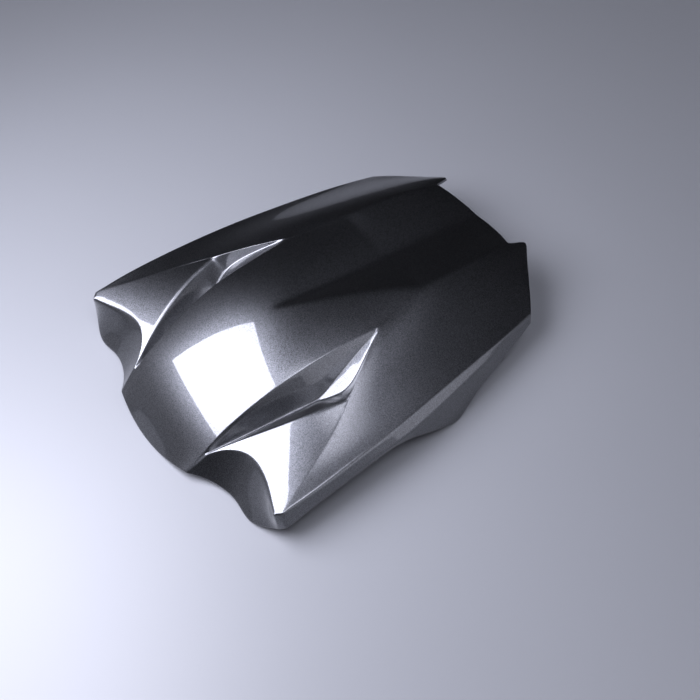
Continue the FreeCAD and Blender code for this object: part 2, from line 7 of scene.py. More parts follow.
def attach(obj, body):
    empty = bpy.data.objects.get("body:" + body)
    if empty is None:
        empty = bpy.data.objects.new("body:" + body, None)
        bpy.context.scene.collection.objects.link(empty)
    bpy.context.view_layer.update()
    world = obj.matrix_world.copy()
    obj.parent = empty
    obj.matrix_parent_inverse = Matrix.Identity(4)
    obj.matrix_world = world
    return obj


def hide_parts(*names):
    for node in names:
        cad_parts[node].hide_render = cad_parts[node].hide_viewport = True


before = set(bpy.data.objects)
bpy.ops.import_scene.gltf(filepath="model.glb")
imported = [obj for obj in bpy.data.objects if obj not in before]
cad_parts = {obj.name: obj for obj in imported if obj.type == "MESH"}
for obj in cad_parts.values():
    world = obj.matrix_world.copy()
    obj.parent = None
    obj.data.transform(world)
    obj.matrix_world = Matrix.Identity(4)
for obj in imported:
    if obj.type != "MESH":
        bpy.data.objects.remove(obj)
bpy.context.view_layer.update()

# =====================================================================================
# Outer skin of the cowl. Tables are in millimetres and give the right half (x > 0);
# in the tables y = 0 is the wing tip, and SHIFT_Y brings them to the part's frame.
# =====================================================================================
WALL, WALL_TIP = 3.0, 0.9
SHIFT_Y = -147.5
BAND, U_H = 1.2, 0.25
Y_LOBE, Y_FASIN, Y_F = -36.0, -30.2, -12.2
Y_K, Y_R, Y_N, Y_NC = 94.4, 150.5, 312.5, 320.0
BOSS_D, BORE_D, BORE_DEPTH = 14.0, 4.2, 14.0
BOSS_X, BOSS_Y, BOSS_Z = 32.0, (28.0, 236.0), 22.0

INNER_PTS = [(51.9,-12.2,21.7),(51.3,-0.8,31.3),(52.2,12.6,39.7),(53.4,26.3,46.6),(54.5,40.1,52.4),(55.6,54.2,57.2),
             (56.7,68.7,60.9),(57.6,84,63.3),(58.3,100.3,64.4),(59.1,117,64.8),(60.3,133.7,64.6),(62.0,150.5,64.0)]
LIP1_PTS = [(51.9,-12.2,21.7),(57.1,-2.3,26.7),(62.2,7.7,31.5),(67.1,18,35.7),(71.8,28.3,39.3),(76.1,38.5,42.3),(80.2,49.2,44.8),
            (84.1,60.3,46.8),(87.6,71.4,48.3),(90.4,82.6,49.5),(92.9,95.1,50.3)]
LIP2_PTS = [(92.9,95.1,50.3),(88.0,105.1,53.0),(81.8,116.2,56.2),(75.5,127.8,59.1),(68.9,139.6,61.5),(62.0,150.5,64.0)]
FOOT_A_PTS = [(51.6,-12.2,21.2),(58.7,20,26.5),(65.3,50,31.5),(70.8,75,35.6),(72.2,82.5,37),(71.7,88.5,39.6),(70,99.4,44.6),
              (67.3,116.4,51.6),(64.8,133.4,57.9),(63.1,145,61.8),(61.7,150.5,63.6)]
FOOT_B_PTS = [(52.2,-12.2,21.2),(59.8,20,26.5),(66.7,50,31.5),(72.4,75,35.6),(74.2,82.5,36.9),(76.8,88,38.2),(78.9,93,39.7),
              (80.7,98.3,41.4),(81.2,103.6,43.5),(80.5,109,45.9),(79,114,48.4),(77,119,50.9),(74.7,124.2,53.3),(72.4,129.1,55.5),
              (70,134.2,57.7),(67.7,139.3,59.7),(65.4,144.5,61.7),(62.3,150.5,63.6)]
CREST_PTS = [(62.0,150.5,64.0),(58.6,170,64.4),(55.4,191,65.2),(53.2,211,65.4),(52.5,233,63.3),(52.0,257,59.8),(50.2,282,55.3),(46.4,312.5,47.8)]
FASIN_PTS = [(47.6,-30.2,7.0),(50.2,-20.8,14.6),(51.9,-12.2,21.7)]
HUMP_Y = [-36,-30,-25,-15,0,15,30,50,70,92,110,130,150,180,210,250,285,320]
HUMP_Z = [0.0,8.6,15.2,26.6,39.6,49.4,56.8,64.0,69.0,72.2,73.2,73.0,72.2,70.4,67.8,61.8,54.4,45.8]
VAL_Y = [92,110,130,150,170,195,230,267,300,320]
VAL_Z = [72.2,69.2,66.0,62.8,59.8,56.4,52.2,47.8,43.4,40.5]
TRB_Y = [92,124,161,196,210]
TRB_X = [0.0,13.5,27.5,44.0,52.0]
P1F, P1, P0F, P0 = (130.5,-4.8,31.1), (135.0,0.3,32.3), (134.8,-3.1,12.2), (140.3,0.8,17.5)
RIDGE_F_PTS = [(51.9,-12.2,21.7),(60.5,-0.6,27.5),(69,6.2,30.8),(79.5,10.8,32.9),(93,10.7,33.0),(106,7.2,32.3),(118.2,1.4,31.5),P1F]
FASBOT_PTS = [(47.6,-30.2,7),(56.2,-23.4,5.6),(64.2,-18.5,4.4),(73,-14.8,3.4),(83,-12.3,2.6),(93,-12,1.6),(103,-13.2,0.6),
              (111.5,-13.0,0.4),(120.2,-10.1,4),(127.6,-6.4,7.8),P0F]
CREASE_PTS = [(92.9,95.1,50.3),(97.4,88.0,48.1),(103.8,75.8,44.9),(112.3,57.4,41),(120.1,38.2,37.7),(127.6,19.1,34.8),P1]
RIDGE_S_PTS = [P1,(135.8,21.4,34.2),(135.6,43.6,35.3),(134.4,66.3,36.2),(132.8,89.5,36.8),(130.9,113.8,37),(128.4,138.4,37),
               (125.3,164.4,36.5),(121.9,191.5,35.5),(118.3,219.6,34.1),(114.4,249.3,31.8),(108.0,284.8,28.3)]
CREASE_S_PTS = [(137.915,0.575,23.89),(138.2,30,27.2),(138.3,60,28.2),(137.8,90,28.0),(136.8,122.5,27.2),(133.6,148.4,28.2),(129.3,176.5,29.0),
                (124.6,205.3,29.2),(121.8,222,28.8),(115.8,250,27.8),(109.6,283.7,24.8)]
BOTTOM_S_PTS = [P0,(140.3,10,19.0),(139.9,30,21.4),(139.4,52,22.8),(138.4,80,23.2),(137.2,106.8,22.4),(137.2,124,18.6),(138.4,140,12.6),
                (139.4,156,6.6),(139.6,168,2.6),(138.8,178,0.6),(136.4,186,2.2),(131.6,202.5,8.8),(127.2,221,12.6),(121.8,244.6,16.2),(111.6,282.6,20.9)]
HORN = (52.6,331.0,42.5)
REAR1_PTS = [(47.6,312.5,47.4),(48.9,318,45.9),(50.6,324.5,44.2),HORN]
REAR2_PTS = [HORN,(63.5,321.4,40.0),(75,311.8,37.5),(86.3,302.6,35),(97.4,293.6,32),(108.0,284.8,28.3)]
FASCIA_HOLLOW = 2.0
FACET = (40.557, -4.418, 11.319, 0.31, -8.355, -2.829)
FLANK_FORM = (50.715, -6.999, -20.132, 2.986, -23.183, -9.842, 13.971, -1.445, 8.608, 7.455)

# sampling of the coarse net (the same net as the solid) and of the fine one
N_ROWS = [2, 3, 12, 7, 16]
T6 = 0.45
N_C, N_H, N_W = 9, 5, 11
FINE_ROWS = [9, 12, 56, 36, 62]


class Spline:
    """Natural cubic spline through (t, value rows) knots, straight beyond its ends; vectorised."""
    def __init__(self, ts, vs):
        t = np.asarray(ts, float); v = np.asarray(vs, float)
        n = len(t); h = np.diff(t)
        A = np.eye(n); B = np.zeros((n,)+v.shape[1:])
        for i in range(1, n-1):
            A[i, i-1], A[i, i], A[i, i+1] = h[i-1], 2*(h[i-1]+h[i]), h[i]
            B[i] = 6*((v[i+1]-v[i])/h[i]-(v[i]-v[i-1])/h[i-1])
        self.t, self.v, self.h = t, v, h
        self.M = np.linalg.solve(A, B.reshape(n, -1)).reshape(B.shape)
    def __call__(self, x):
        x = np.asarray(x, float); t, v, M, h = self.t, self.v, self.M, self.h
        k = np.clip(np.searchsorted(t, x, side="right")-1, 0, len(t)-2)
        ex = (slice(None),)*x.ndim+(None,)*(v.ndim-1)
        H = h[k][ex]; xc = np.clip(x, t[0], t[-1])
        a = (t[k+1]-xc)[ex]; b = (xc-t[k])[ex]
        y = (M[k]*a**3+M[k+1]*b**3)/(6*H)+(v[k]/H-M[k]*H/6)*a+(v[k+1]/H-M[k+1]*H/6)*b
        s0 = (v[1]-v[0])/h[0]-h[0]*(2*M[0]+M[1])/6
        s1 = (v[-1]-v[-2])/h[-1]+h[-1]*(2*M[-1]+M[-2])/6
        return y+np.minimum(x-t[0], 0)[ex]*s0+np.maximum(x-t[-1], 0)[ex]*s1


def chord(pts):
    p = np.asarray(pts, float)
    L = np.r_[0, np.cumsum(np.linalg.norm(np.diff(p, axis=0), axis=1))]
    return Spline(L/L[-1], p)


def by_y(pts):
    p = np.asarray(pts, float)
    s = Spline(p[:, 1], p[:, [0, 2]])
    def f(y):
        y = np.asarray(y, float); q = s(y)
        return np.stack([q[..., 0], y, q[..., 1]], -1)
    return f


INNER, LIP1, LIP2, FOOT_A, FOOT_B = (by_y(p) for p in (INNER_PTS, LIP1_PTS, LIP2_PTS, FOOT_A_PTS, FOOT_B_PTS))
CREST, FASIN = by_y(CREST_PTS), by_y(FASIN_PTS)
HUMP, VAL0, TRB = Spline(HUMP_Y, HUMP_Z), Spline(VAL_Y, VAL_Z), Spline(TRB_Y, TRB_X)
RIDGE_F, FASBOT, CREASE = chord(RIDGE_F_PTS), chord(FASBOT_PTS), chord(CREASE_PTS)
RIDGE_S, CREASE_S, BOTTOM_S = by_y(RIDGE_S_PTS), by_y(CREASE_S_PTS), by_y(BOTTOM_S_PTS)
REAR1, REAR2 = chord(REAR1_PTS), chord(REAR2_PTS)


def vec(*c): return np.array(c, float)


def facet_z(x, y):
    X, Y, q = (x-95)/40, (y-40)/50, FACET
    return q[0]+q[1]*X+q[2]*Y+q[3]*X*X+q[4]*X*Y+q[5]*Y*Y


def flank_z(x, y):
    X, Y, q = (x-95)/45, (y-160)/160, FLANK_FORM
    return q[0]+Y*(q[1]+Y*(q[2]+Y*q[3]))+X*(q[4]+Y*(q[5]+Y*q[6])+X*(q[7]+Y*q[8]+X*q[9]))


def lifted(g, form, s, dy=0.0):
    g = np.array(g, float)
    g[..., 2] += s*form(np.abs(g[..., 0]), g[..., 1]-dy)
    return g


def on_facet(p):
    p = np.array(p, float)
    p[..., 2] = facet_z(p[..., 0], p[..., 1])
    return p


def columns(seg, t):
    if seg == 0:
        p = FASIN(Y_FASIN+(Y_F-Y_FASIN)*t)
        return Y_LOBE+(-15.0-Y_LOBE)*t, p+vec(-BAND, 0, 0.3*BAND), p+vec(-0.3, 0.35, -0.2), p+vec(0.3, 0.35, -0.2), p+vec(BAND, 0.3*BAND, 0)
    if seg == 1:
        y = Y_F+(Y_K-Y_F)*t; k = max(0.0, 1-t/0.10); e = BAND*k
        a, b, d, c = INNER(y), FOOT_A(y), FOOT_B(y), LIP1(y)
        return -15.0+107.0*t, a+vec(-e, 0, 0.3*e), b+vec(0, 0.35*k, 0.3*k), d+vec(0, 0.35*k, 0.3*k), on_facet(c+vec(e, 0.3*e, 0))
    if seg == 2:
        y = Y_K+(Y_R-Y_K)*t; k = max(0.0, (t-0.8)/0.2); e = BAND*k
        a, b, d, c = INNER(y), FOOT_A(y), FOOT_B(y), LIP2(y)
        return 92.0+58.0*t, a+vec(-e, 0, 0.05*e), b+vec(0, 0, 0.55*k), d+vec(0, 0, 0.45*k), c+vec(e, 0, -0.3*e)
    p = CREST(Y_R+(Y_N-Y_R)*t)
    return 150.0+(Y_NC-150.0)*t, p+vec(-BAND, 0, 0.05*BAND), p+vec(-0.3, 0, 0.15), p+vec(0.3, 0, 0.05), p+vec(BAND, 0, -0.3*BAND)


def soft_pos(x, r): return 0.5*(x+np.sqrt(x*x+r*r))
def groove(q): return soft_pos(1-np.sqrt(q*q+0.006), 0.06)/soft_pos(1-math.sqrt(0.006), 0.06)


def centre_point(y0, c1, s):
    x, y = c1[0]*s, y0+(c1[1]-y0)*s*s
    z = c1[2]+(HUMP(y0)-c1[2])*(1-s*s)
    if y0 > 92.01:
        b = min(float(TRB(min(y0, 210.0))), c1[0]) if y0 < 210.0 else c1[0]
        z = z-(HUMP(y0)-VAL0(y0))*(groove(x/b)-groove(c1[0]/b)*s*s)
    return np.stack([x, y, z], -1)


def tail_share(seg, t):
    k = (Y_R-Y_K)/(Y_N-Y_K)
    return t*k if seg == 2 else k+(1-k)*t


def side_columns(seg, t):
    if seg == 1:
        a, c = vec(*P1F)*(1-t)+vec(*P1)*t, vec(*P0F)*(1-t)+vec(*P0)*t
        return a, a*T6+c*(1-T6), c
    w = tail_share(seg, t)
    ys = [p[0][1]+(p[-1][1]-p[0][1])*w for p in (RIDGE_S_PTS, CREASE_S_PTS, BOTTOM_S_PTS)]
    return RIDGE_S(ys[0]), CREASE_S(ys[1]), BOTTOM_S(ys[2])


def pinned(curve, us, a, b):
    us = np.asarray(us, float); p = np.array([curve(u) for u in us])
    return p+((1-us)**3)[:, None]*(a-p[0])+(us**3)[:, None]*(b-p[-1])


def fill(g):
    """inside of a grid g[u][v] from its border: smooth (harmonic) surface"""
    nu, nv = g.shape[:2]
    u = np.linspace(0, 1, nu)[:, None, None]; v = np.linspace(0, 1, nv)[None, :, None]
    c = ((1-u)*g[:1]+u*g[-1:]+(1-v)*g[:, :1]+v*g[:, -1:]
         -(1-u)*(1-v)*g[0, 0]-u*(1-v)*g[-1, 0]-(1-u)*v*g[0, -1]-u*v*g[-1, -1])
    g[1:-1, 1:-1] = c[1:-1, 1:-1]
    lu = np.linalg.norm(np.diff(g, axis=0), axis=-1).mean(); lv = np.linalg.norm(np.diff(g, axis=1), axis=-1).mean()
    wu, wv = 1/lu**2, 1/lv**2
    for it in range(1500):
        n = (wu*(g[:-2, 1:-1]+g[2:, 1:-1])+wv*(g[1:-1, :-2]+g[1:-1, 2:]))/(2*(wu+wv))
        m = np.abs(n-g[1:-1, 1:-1]).max()
        g[1:-1, 1:-1] = n
        if m < 2e-5: break
    return g


def puff(g, amount, axis):
    nu, nv = g.shape[:2]
    u = np.linspace(0, 1, nu)[:, None]; v = np.linspace(0, 1, nv)[None, :]
    return g+(amount*16*u*(1-u)*v*(1-v))[..., None]*vec(*axis)


# ---------------- coarse net ----------------
BREAK = np.r_[0, np.cumsum(N_ROWS)]
J6, JF, JK, JR, JE = (int(b) for b in BREAK[1:])
SPANS = [(0, 0.0, T6), (0, T6, 1.0), (1, 0.0, 1.0), (2, 0.0, 1.0), (3, 0.0, 1.0)]


def rows_of(counts, spread=None):
    """(span, fraction inside the span, segment, t) of every row"""
    out = []
    for b, n in enumerate(counts):
        seg, t0, t1 = SPANS[b]
        if out: out.pop()
        for i in range(n+1):
            w = i/n if spread is None else spread(b, i/n)
            out.append((b, w, seg, t0+(t1-t0)*w))
    return out


ROWS = rows_of(N_ROWS)
COLS = [columns(r[2], r[3]) for r in ROWS]
SIDE = {j: side_columns(*ROWS[j][2:]) for j in range(JF, JE+1)}
LINE3 = np.array([c[4] for c in COLS])
LINE5 = np.array([vec(*P0F)*(1-ROWS[j][3])+vec(*P1F)*ROWS[j][3] for j in range(JF)]+[SIDE[j][0] for j in range(JF, JE+1)])
SIDE[JF] = (vec(*P1F), vec(*P1F)*T6+vec(*P0F)*(1-T6), vec(*P0F))
LINE5[JF] = P1F
US = np.array([U_H*i/N_H for i in range(N_H)]+[U_H+(1-U_H)*i/N_W for i in range(N_W+1)])
NU = len(US)-1
row_bottom = pinned(FASBOT, US, LINE3[0], LINE5[0])
row_ridge = pinned(RIDGE_F, US, LINE3[JF], LINE5[JF])
row_crease = pinned(CREASE, US, LINE3[JK], LINE5[JK])
row_ridge, row_crease = on_facet(row_ridge), on_facet(row_crease)
row_ridge[-1] = P1F
LINE5[JF+1:JK+1] = on_facet(LINE5[JF+1:JK+1])
row_rear = pinned(lambda u: REAR1(u/U_H) if u <= U_H else REAR2((u-U_H)/(1-U_H)), US, LINE3[JE], LINE5[JE])


def strip(j0, j1, first, last, form=None):
    g = np.zeros((NU+1, j1-j0+1, 3))
    g[:, 0], g[:, -1] = first, last
    g[0], g[-1] = LINE3[j0:j1+1], LINE5[j0:j1+1]
    return lifted(fill(lifted(g, form, -1)), form, 1) if form else fill(g)


FASCIA = puff(strip(0, JF, row_bottom, row_ridge), FASCIA_HOLLOW, (0, 0.8, -0.6))
WING = on_facet(strip(JF, JK, row_ridge, row_crease))
FLANK = strip(JK, JE, row_crease, row_rear, flank_z)


def coarse_outer():
    """all coarse points of the right half: main net [row][column], skirt net [row-JF][3]"""
    main = np.zeros((JE+1, N_C+1+2+NU+1, 3))
    for j, c in enumerate(COLS):
        main[j, :N_C+1] = centre_point(c[0], c[1], np.arange(N_C+1)/N_C)
        main[j, N_C+1], main[j, N_C+2] = c[2], c[3]
    for j in range(JE+1):
        main[j, N_C+3:] = FASCIA[:, j] if j <= JF else WING[:, j-JF] if j <= JK else FLANK[:, j-JK]
    skirt = np.array([[main[j, -1], SIDE[j][1], SIDE[j][2]] for j in range(JF, JE+1)])
    return main, skirt


MAIN, SKIRT = coarse_outer()
C1, C2, C2B, C3, C5 = N_C, N_C+1, N_C+2, N_C+3, N_C+3+NU        # column indexes of the net


# ---------------- fine net: the surface between the coarse lines ----------------
def spread_rows(b, w):
    return w


FROWS = rows_of(FINE_ROWS, spread_rows)
FB = np.r_[0, np.cumsum(FINE_ROWS)]
R6, RF, RK, RR, RE = (int(b) for b in FB[1:])


def ends(n, a, b):
    """0..1 in n steps, closer together at the ends by the given factors"""
    x = np.linspace(0, 1, n+1)
    w = 1/(1+(a-1)*np.exp(-x*6)+(b-1)*np.exp(-(1-x)*6))
    c = np.r_[0, np.cumsum(0.5*(w[1:]+w[:-1]))]
    return c/c[-1]


F_C = ends(34, 1, 7)             # centreline to inner edge
F_I = ends(11, 3, 3)             # inner wall
F_F = ends(8, 3, 3)              # floor of the recess, and its ramp
F_O = ends(11, 3, 3)             # outer wall
F_W = ends(39, 6, 4)             # lip to side ridge
K1, K2, K2B, K3, K5 = (int(k) for k in np.cumsum([len(f)-1 for f in (F_C, F_I, F_F, F_O, F_W)]))
NS = RF                          # skirt columns: as many as front rows
Y0_OF = Spline([Y_FASIN, Y_F, 40.0, Y_K, Y_R, 230.0, Y_N], [Y_LOBE, -15.0, 37.4, 92.0, 150.0, 233.4, Y_NC])


def natural(P, x, axis=0):
    """natural cubic through uniform points, at fractional indexes x"""
    P = np.moveaxis(P, axis, 0)
    return np.moveaxis(Spline(np.arange(len(P)), P)(x), 0, axis)


def strip_at(G, us, vs):
    """strip G[u][v] at column fractions us and fractional rows vs; the corner at U_H stays sharp towards the rear"""
    A = natural(G, vs, 1)
    whole = Spline(US, A)(us)
    parts = np.where((us <= U_H)[:, None, None], Spline(US[:N_H+1], A[:N_H+1])(us), Spline(US[N_H:], A[N_H:])(us))
    return whole, parts


def fine_outer():
    M = np.zeros((RE+1, K5+1, 3))
    for r, (b, w, seg, t) in enumerate(FROWS):
        y0, c1, c2, c2b, c3 = columns(seg, t)
        M[r, :K1+1] = centre_point(float(Y0_OF(np.float64(c1[1]))), c1, F_C)
        M[r, K1:K2+1] = c1+(c2-c1)*F_I[:, None]
        M[r, K2:K2B+1] = c2+(c2b-c2)*F_F[:, None]
        M[r, K2B:K3+1] = c2b+(c3-c2b)*F_O[:, None]
    frac = lambda rs, b0: np.array([BREAK[FROWS[r][0]]-b0+FROWS[r][1]*N_ROWS[FROWS[r][0]] for r in rs])
    for G, r0, r1, b0 in ((FASCIA, 0, RF, 0), (WING, RF, RK, JF), (FLANK, RK, RE, JK)):
        rs = range(r0, r1+1)
        whole, parts = strip_at(lifted(G, flank_z, -1) if G is FLANK else G, F_W, frac(rs, b0))
        k = np.clip((np.array(rs)-RR)/(RE-RR), 0, 1)**2*(1 if G is FLANK else 0)
        S = whole*(1-k)[None, :, None]+parts*k[None, :, None]
        if G is WING: S = on_facet(S)
        if G is FLANK: S = lifted(S, flank_z, 1)
        for i, r in enumerate(rs): M[r, K3:] = S[:, i]
    # skirt: column k of the skirt meets front row RF-k at the wing tip
    S = np.zeros((RE-RF+1, NS+1, 3))
    n6 = RF-R6
    for r in range(RF, RE+1):
        b, w, seg, t = FROWS[r]
        a, m, c = side_columns(seg, t) if r > RF else SIDE[JF]
        a = M[r, K5]
        S[r-RF, :n6+1] = a+(m-a)*np.linspace(0, 1, n6+1)[:, None]
        S[r-RF, n6:] = m+(c-m)*np.linspace(0, 1, NS-n6+1)[:, None]
    for k in range(NS+1): S[0, k] = M[RF-k, K5]
    return M, S


FM, FS = fine_outer()
FM[..., 1] += SHIFT_Y; FS[..., 1] += SHIFT_Y
print("fine net", FM.shape, FS.shape)

# ---------------- rounding of the creases ----------------
IDM = np.arange((RE+1)*(K5+1)).reshape(RE+1, K5+1)
IDS = np.zeros((RE-RF+1, NS+1), int)
IDS[1:, 1:] = IDM.size+np.arange((RE-RF)*NS).reshape(RE-RF, NS)
IDS[:, 0] = IDM[RF:, K5]
IDS[0, :] = IDM[RF-np.arange(NS+1), K5]
OUT = np.zeros((IDM.size+(RE-RF)*NS, 3))
OUT[IDM] = FM
OUT[IDS[1:, 1:]] = FS[1:, 1:]
N6 = RF-R6


def soften(P, paths, sigmas, mirror):
    """every path (row of vertex ids) is averaged over a bell of width sigma along its length; ends stay put"""
    new = P.copy()
    q = np.linspace(-2.6, 2.6, 27)
    w = np.exp(-0.5*q*q); w /= w.sum()
    for ids, sg in zip(paths, sigmas):
        p = P[ids]
        if mirror: p0 = p[30:0:-1]*vec(-1, 1, 1)
        else: p0 = 2*p[0]-p[30:0:-1]
        p1 = 2*p[-1]-p[-2:-32:-1]
        a = np.concatenate([p0, p, p1])
        s = np.r_[0, np.cumsum(np.linalg.norm(np.diff(a, axis=0), axis=1))]
        at = s[len(p0):len(p0)+len(p), None]+sg[:, None]*q[None, :]
        new[ids] = np.stack([(np.interp(at, s, a[:, k])*w).sum(1) for k in range(3)], -1)
    return new


def widths(p, marks, most):
    """bell width along a path: the crease's own at each crease, wider away from all of them"""
    s = np.r_[0, np.cumsum(np.linalg.norm(np.diff(p, axis=0), axis=1))]
    sg = np.array(most, float)*np.ones(len(p))
    for i, k in marks: sg = np.minimum(sg, np.maximum(k, 0.33*np.abs(s-s[i])))
    return sg


def ramp(x, xs, ys): return float(np.interp(x, xs, ys))


def row_y(r): return float(FM[r, K1, 1]-SHIFT_Y)          # table y of the inner edge


def crease_sigmas(r):
    """bell widths at inner edge, both feet, lip, side ridge and skirt crease, by row"""
    y = row_y(r)
    c1 = ramp(y, [-30, -14, -6, 8, 140, 150, 165, 200, 312], [1.6, 1.1, 0.5, 0.45, 0.45, 0.7, 1.3, 1.8, 1.2])
    c2 = ramp(y, [-30, -14, -6, 20, 80, 140, 150, 165, 200, 312], [1.6, 1.0, 0.35, 0.4, 0.45, 0.45, 0.7, 1.3, 1.8, 1.2])
    c2b = ramp(y, [-30, -14, -6, 20, 80, 90, 140, 150, 165, 200, 312], [1.6, 1.0, 0.35, 0.4, 0.5, 0.7, 0.5, 0.7, 1.3, 1.8, 1.2])
    c3 = ramp(y, [-30, -14, -6, 10, 30, 60, 94, 115, 135, 148, 165, 200, 312], [1.6, 1.1, 0.6, 1.0, 1.4, 1.7, 1.8, 1.3, 0.8, 0.7, 1.3, 1.8, 1.2])
    ys = float(FM[r, K5, 1]-SHIFT_Y)
    c5 = ramp(ys, [-5, 0, 10, 40, 90, 280], [1.0, 1.4, 2.4, 2.2, 1.6, 1.2])
    c6 = ramp(ys, [-5, 5, 60, 110, 280], [1.0, 1.2, 1.0, 0.8, 0.8])
    return c1, c2, c2b, c3, c5, c6


def smooth_once():
    global OUT
    # across: centreline to skirt rim
    paths, sig = [], []
    for r in range(RF, RE+1):
        ids = np.r_[IDM[r], IDS[r-RF, 1:]]
        c1, c2, c2b, c3, c5, c6 = crease_sigmas(r)
        y = row_y(r)
        most = np.full(len(ids), 3.0)
        if y > 85: most[:K1] = 0.9
        sig.append(widths(OUT[ids], [(K1, c1), (K2, c2), (K2B, c2b), (K3, c3), (K5, c5), (K5+N6, c6)], most))
        paths.append(ids)
    OUT = soften(OUT, paths, sig, True)
    # across the front, then along the skirt to the tail
    paths, sig = [], []
    for r in range(RF):
        ids = np.r_[IDM[r], IDS[1:, RF-r]]
        c1, c2, c2b, c3, c5, c6 = crease_sigmas(r)
        sig.append(widths(OUT[ids], [(K1, c1), (K2, c2), (K2B, c2b), (K3, c3), (K5, 1.0), (K5+RK-RF, 1.3)], 3.0))
        paths.append(ids)
    OUT = soften(OUT, paths, sig, True)
    # along: front rim to tail
    paths, sig = [], []
    for c in range(K5):
        ids = IDM[:, c]
        if c < K1: marks, most = [], np.where(FM[:, 0, 1]-SHIFT_Y > 82, 0.9, 3.0)
        elif c <= K3:
            q = max(0.0, (c-K2B)/(K3-K2B))
            iv = int(np.argmin(np.abs(FM[:, c, 1]-SHIFT_Y-84)))
            marks, most = [(RF, 0.5), (iv, 0.6+1.0*q), (RK, 0.8+0.8*q), (RR, 0.5)], 2.0
        else:
            u = F_W[c-K3]
            marks, most = [(RF, 0.6+ramp(u, [0, 0.15, 0.5, 0.8, 1.0], [0.0, 1.6, 2.6, 3.0, 2.0])), (RK, 1.2)], 3.0
        sig.append(widths(OUT[ids], marks, most)); paths.append(ids)
    OUT = soften(OUT, paths, sig, False)


smooth_once()


# ---------------- inside of the moulding: each coarse point moved in by the wall ----------------
def inner_net():
    point, patch = {}, {}
    def put(key, p, sd=1):
        point[key] = vec(p[0]*sd, p[1]+SHIFT_Y, p[2])
        return key
    for b in range(5):
        js = range(int(BREAK[b]), int(BREAK[b+1])+1)
        patch["centre", 0, b] = [[put(("L1", 1 if i > 0 else -1, j) if abs(i) == N_C else ("c", i, j), MAIN[j, abs(i)], 1 if i >= 0 else -1)
                                  for j in js] for i in range(-N_C, N_C+1)]
        for sd in (1, -1):
            l1 = [put(("L1", sd, j), MAIN[j, C1], sd) for j in js]
            l2 = [put(("L2", sd, j), MAIN[j, C2], sd) for j in js]
            l2b = [put(("L2B", sd, j), MAIN[j, C2B], sd) for j in js]
            wing = [[put(("W", sd, i, j), MAIN[j, C3+i], sd) for j in js] for i in range(NU+1)]
            patch["inner", sd, b] = [l1, l2]
            patch["floor", sd, b] = [l2, l2b]
            patch["outer", sd, b] = [l2b, wing[0]]
            patch["wing", sd, b] = wing
            if b >= 2:
                l6 = [put(("S6", sd, j), SKIRT[j-JF, 1], sd) if j > JF else ("W", sd, NU, J6) for j in js]
                l7 = [put(("S7", sd, j), SKIRT[j-JF, 2], sd) if j > JF else ("W", sd, NU, 0) for j in js]
                patch["skirtA", sd, b] = [wing[NU], l6]
                patch["skirtB", sd, b] = [l6, l7]
    normals = {k: [] for k in point}
    for (name, sd, b), g in patch.items():
        flip = 1 if sd >= 0 else -1
        for i in range(len(g)-1):
            for j in range(len(g[0])-1):
                ks = [g[i][j], g[i+1][j], g[i+1][j+1], g[i][j+1]]
                ps = [point[k] for k in ks]
                n = np.cross(ps[2]-ps[0], ps[3]-ps[1])*flip
                l = np.linalg.norm(n)
                if l < 1e-6: continue
                n = n/l
                for q in range(4):
                    e1, e2 = ps[(q+1) % 4]-ps[q], ps[q-1]-ps[q]
                    w = math.acos(max(-1, min(1, float(e1@e2)/max(1e-9, float(np.linalg.norm(e1)*np.linalg.norm(e2))))))
                    normals[ks[q]].append((n, w))
    flat = set()
    for (name, sd, b), g in patch.items():
        if b == 0: flat.update(col[0] for col in g)
        if name == "skirtB": flat.update(g[1])
    tip = vec(INNER_PTS[0][0], INNER_PTS[0][1]+SHIFT_Y, INNER_PTS[0][2])
    move = {}
    for k, ns in normals.items():
        p = point[k]
        wall = min(WALL, WALL_TIP+0.07*float(np.linalg.norm(vec(abs(p[0]), p[1], p[2])-tip)))
        A, B, W = np.eye(3)*0.06, np.zeros(3), sum(w for n, w in ns)
        for n, w in ns:
            A += w/W*np.outer(n, n); B += w/W*n*wall*1.06
        d = np.linalg.solve(A, B)
        l = np.linalg.norm(d)
        move[k] = d*(2.0*wall/l) if l > 2.0*wall else d
    for sd in (1, -1):
        four = [("L1", sd, 0), ("L2", sd, 0), ("L2B", sd, 0), ("W", sd, 0, 0)]
        m = sum(move[k] for k in four)/4.0
        for k in four: move[k] = m
    inside = {}
    for k, d in move.items():
        if k in flat:
            h = math.hypot(d[0], d[1])
            s = min(float(d@d)/max(h, 1e-6), 1.5*WALL)/max(h, 1e-6)
            d = vec(d[0]*s, d[1]*s, 0.0)
        inside[k] = point[k]-d
    def straight(keys):
        for i in range(1, len(keys)-1): inside[keys[i]] = inside[keys[0]]+(inside[keys[-1]]-inside[keys[0]])*i/(len(keys)-1)
    for sd in (1, -1):
        straight([("W", sd, NU, j) for j in range(0, J6+1)])
        straight([("W", sd, NU, j) for j in range(J6, JF+1)])
        straight([("W", sd, NU, j) for j in range(JF, JK+1)])
        straight([("S6", sd, j) if j > JF else ("W", sd, NU, J6) for j in range(JF, JK+1)])
        straight([("S7", sd, j) if j > JF else ("W", sd, NU, 0) for j in range(JF, JK+1)])
        for j0, j1, form in ((0, JF, None), (JF, JK, facet_z), (JK, JE, flank_z)):
            g = np.array([[inside["W", sd, i, j] for j in range(j0, j1+1)] for i in range(NU+1)])
            g = lifted(fill(lifted(g, form, -1, SHIFT_Y)), form, 1, SHIFT_Y) if form else puff(fill(g), FASCIA_HOLLOW, (0, 0.8, -0.6))
            for i in range(1, NU):
                for j in range(j0+1, j1): inside["W", sd, i, j] = g[i, j-j0]
    return inside


INSIDE = inner_net()


